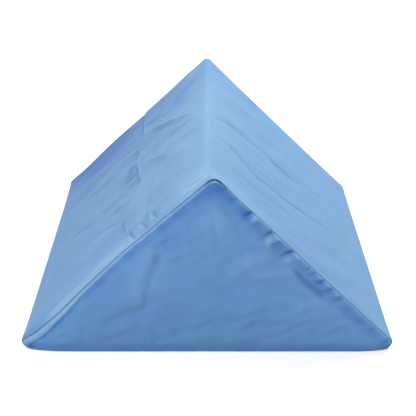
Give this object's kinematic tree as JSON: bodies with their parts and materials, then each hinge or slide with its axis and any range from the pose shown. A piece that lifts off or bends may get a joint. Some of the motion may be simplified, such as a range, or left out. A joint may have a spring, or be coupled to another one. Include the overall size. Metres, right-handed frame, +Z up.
{
  "type": "orthopedic wedge cushion",
  "caption": "Triangular foam wedge cushion in a fitted light blue cloth cover, with sewn-in end panels and an overlapped closure along one slope.",
  "frame": {"origin": "middle of the flat base, on the surface that the cushion lies on", "axes": "+Z up, from the base towards the ridge; +Y along the ridge, from the near end panel to the far one; +X across, away from the slope with the closure"},
  "size_m": [0.4996, 0.5201, 0.2535],
  "materials": {
    "wrap_cloth": "matt light blue plain weave cloth with a faint sheen",
    "panel_cloth": "matt light blue plain weave cloth with a faint sheen",
    "stitch_thread": "light blue sewing thread, slightly lustrous"
  },
  "bodies": {
    "root": {"cushion_body": "wrap_cloth", "closure_placket": "wrap_cloth", "front_end_panel": "panel_cloth", "rear_end_panel": "panel_cloth"}
  },
  "joints": []
}
